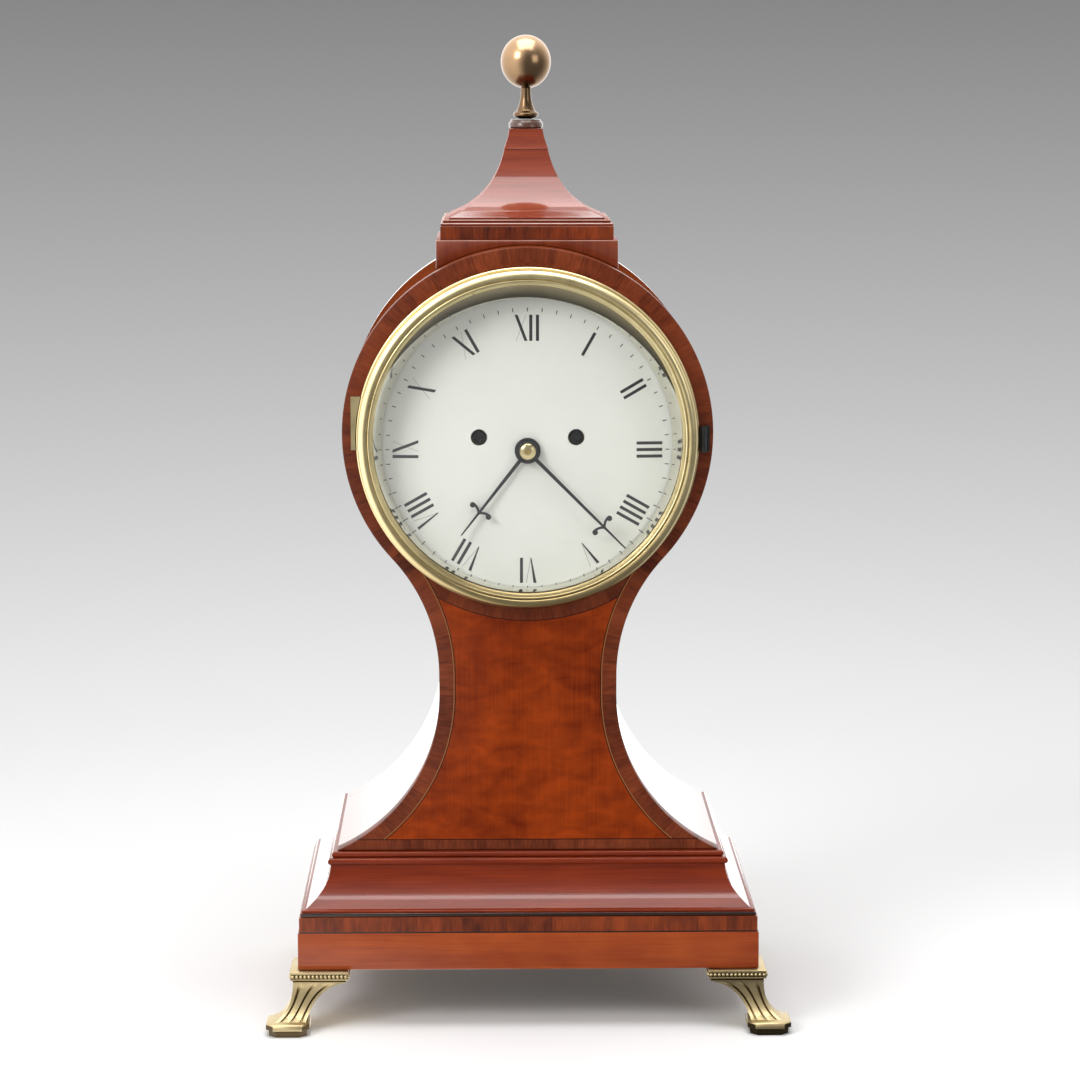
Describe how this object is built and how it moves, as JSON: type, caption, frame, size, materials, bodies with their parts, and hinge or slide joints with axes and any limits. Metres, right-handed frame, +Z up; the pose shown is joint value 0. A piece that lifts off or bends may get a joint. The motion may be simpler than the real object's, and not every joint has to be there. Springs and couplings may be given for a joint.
{
  "type": "balloon mantel clock",
  "caption": "Waisted mahogany balloon clock on splayed brass feet, with a hinged glazed bezel, domed dial, striking movement, pendulum and pagoda cap with a ball finial.",
  "frame": {"origin": "on the table, midway between the four toes", "axes": "+Z up, +X to the right of a viewer who faces the dial, the dial faces -Y"},
  "size_m": [0.3256, 0.2306, 0.6142],
  "materials": {
    "mahogany": "French polished, quartered figure",
    "kingwood": "French polished crossbanding",
    "oak": "plain, waxed",
    "brass": "lacquered, worn",
    "bronze": "gilt, toned down",
    "steel": "polished",
    "blackened": "blackened steel",
    "enamel": "off-white, satin",
    "glass": "clear, domed",
    "gut": "twisted gut"
  },
  "bodies": {
    "case": {"base_plinth": "mahogany", "base_bottom_board": "oak", "base_moulding": "mahogany", "case_front": "mahogany", "case_side_left": "mahogany", "case_side_right": "mahogany", "case_back": "oak", "cap_block": "mahogany", "cap_frieze": "kingwood", "cap_pagoda": "mahogany", "cap_neck": "mahogany", "finial_collar": "kingwood", "finial": "bronze", "foot_front_left": "brass", "foot_front_right": "brass", "foot_rear_left": "brass", "foot_rear_right": "brass", "bezel_hinge": "blackened", "back_door_hinge": "brass", "sight_ring": "brass", "dial": "enamel", "front_plate": "brass", "back_plate": "brass", "seat_board": "oak", "seat_bolt_left": "steel", "seat_bolt_right": "steel", "going_line": "gut", "strike_line": "gut", "pendulum_cock": "brass", "bell": "brass", "bell_stand": "steel"},
    "bezel_door": {"bezel": "brass", "glass": "glass", "bezel_catch": "brass"},
    "back_door": {"back_door": "mahogany"},
    "door_turn": {"back_door_turn": "brass"},
    "hands": {"centre_wheel": "brass", "cannon_pinion": "brass", "minute_hand": "blackened", "hand_collet": "brass"},
    "hour_work": {"hour_wheel": "brass", "hour_hand": "blackened"},
    "minute_work": {"minute_wheel": "brass"},
    "going_fusee": {"going_fusee": "brass"},
    "going_barrel": {"going_barrel": "brass"},
    "third_wheel": {"third_wheel": "brass"},
    "escape_wheel": {"escape_wheel": "brass"},
    "pendulum": {"suspension_spring": "steel", "pendulum_rod": "steel", "pendulum_bob": "brass", "rating_nut": "brass"},
    "pallets": {"pallets": "steel"},
    "hoop_wheel": {"hoop_wheel": "brass"},
    "pin_wheel": {"pin_wheel": "brass"},
    "strike_fusee": {"strike_fusee": "brass"},
    "strike_barrel": {"strike_barrel": "brass"},
    "warning_wheel": {"warning_wheel": "brass"},
    "fly": {"fly": "brass"},
    "hammer": {"hammer": "steel"}
  },
  "joints": [
    {"name": "bezel_hinge", "type": "hinge", "parent": "case", "child": "bezel_door", "pos_m": [0.108, -0.0757, 0.36754], "axis": [0, 0, 1], "range_deg": [0, 105]},
    {"name": "back_door_hinge", "type": "hinge", "parent": "case", "child": "back_door", "pos_m": [0.0952, 0.0937, 0.37054], "axis": [0, 0, -1], "range_deg": [0, 100]},
    {"name": "door_turn", "type": "hinge", "parent": "case", "child": "door_turn", "pos_m": [-0.0995, 0.092, 0.37054], "axis": [0, 1, 0], "range_deg": [0, 90]},
    {"name": "hands", "type": "hinge", "parent": "case", "child": "hands", "pos_m": [0, -0.03933, 0.35954], "axis": [0, 1, 0], "continuous": true},
    {"name": "hour_wheel", "type": "hinge", "parent": "case", "child": "hour_work", "pos_m": [0, -0.04933, 0.35954], "axis": [0, 1, 0], "continuous": true},
    {"name": "minute_wheel", "type": "hinge", "parent": "case", "child": "minute_work", "pos_m": [0, -0.04533, 0.34154], "axis": [0, 1, 0], "continuous": true},
    {"name": "going_fusee", "type": "hinge", "parent": "case", "child": "going_fusee", "pos_m": [0.03, 0, 0.36754], "axis": [0, 1, 0], "continuous": true},
    {"name": "going_barrel", "type": "hinge", "parent": "case", "child": "going_barrel", "pos_m": [0.032, 0, 0.31454], "axis": [0, 1, 0], "continuous": true},
    {"name": "third_wheel", "type": "hinge", "parent": "case", "child": "third_wheel", "pos_m": [-0.01, 0, 0.37994], "axis": [0, 1, 0], "continuous": true},
    {"name": "escape_wheel", "type": "hinge", "parent": "case", "child": "escape_wheel", "pos_m": [0, 0, 0.39814], "axis": [0, 1, 0], "continuous": true},
    {"name": "pendulum", "type": "hinge", "parent": "case", "child": "pendulum", "pos_m": [0, 0.03467, 0.41814], "axis": [0, 1, 0], "range_deg": [-3, 3]},
    {"name": "pallets", "type": "hinge", "parent": "case", "child": "pallets", "pos_m": [0, 0.02267, 0.41814], "axis": [0, 1, 0], "range_deg": [-3, 3]},
    {"name": "hoop_wheel", "type": "hinge", "parent": "case", "child": "hoop_wheel", "pos_m": [-0.02, 0, 0.40324], "axis": [0, 1, 0], "continuous": true},
    {"name": "pin_wheel", "type": "hinge", "parent": "case", "child": "pin_wheel", "pos_m": [-0.033, 0, 0.39114], "axis": [0, 1, 0], "continuous": true},
    {"name": "strike_fusee", "type": "hinge", "parent": "case", "child": "strike_fusee", "pos_m": [-0.03, 0, 0.36754], "axis": [0, 1, 0], "continuous": true},
    {"name": "strike_barrel", "type": "hinge", "parent": "case", "child": "strike_barrel", "pos_m": [-0.032, 0, 0.31454], "axis": [0, 1, 0], "continuous": true},
    {"name": "warning_wheel", "type": "hinge", "parent": "case", "child": "warning_wheel", "pos_m": [-0.033, 0, 0.41254], "axis": [0, 1, 0], "continuous": true},
    {"name": "fly", "type": "hinge", "parent": "case", "child": "fly", "pos_m": [-0.045, 0, 0.42154], "axis": [0, 1, 0], "continuous": true},
    {"name": "hammer", "type": "hinge", "parent": "case", "child": "hammer", "pos_m": [-0.014, 0, 0.42154], "axis": [0, 1, 0], "range_deg": [-10, 0], "stiffness_Nm_per_rad": 0.02, "springref_deg": 11.46}
  ],
  "couplings": [
    {"joint": "hour_wheel", "follows": "hands", "ratio": 0.083333},
    {"joint": "minute_wheel", "follows": "hands", "ratio": -1},
    {"joint": "going_fusee", "follows": "hands", "ratio": -0.083333},
    {"joint": "going_barrel", "follows": "hands", "ratio": -0.066913},
    {"joint": "third_wheel", "follows": "hands", "ratio": -12},
    {"joint": "escape_wheel", "follows": "hands", "ratio": 130},
    {"joint": "pallets", "follows": "pendulum", "ratio": 1},
    {"joint": "pin_wheel", "follows": "hoop_wheel", "ratio": -0.125},
    {"joint": "strike_fusee", "follows": "hoop_wheel", "ratio": 0.015625},
    {"joint": "strike_barrel", "follows": "hoop_wheel", "ratio": 0.012546},
    {"joint": "warning_wheel", "follows": "hoop_wheel", "ratio": -8},
    {"joint": "fly", "follows": "hoop_wheel", "ratio": 56}
  ]
}
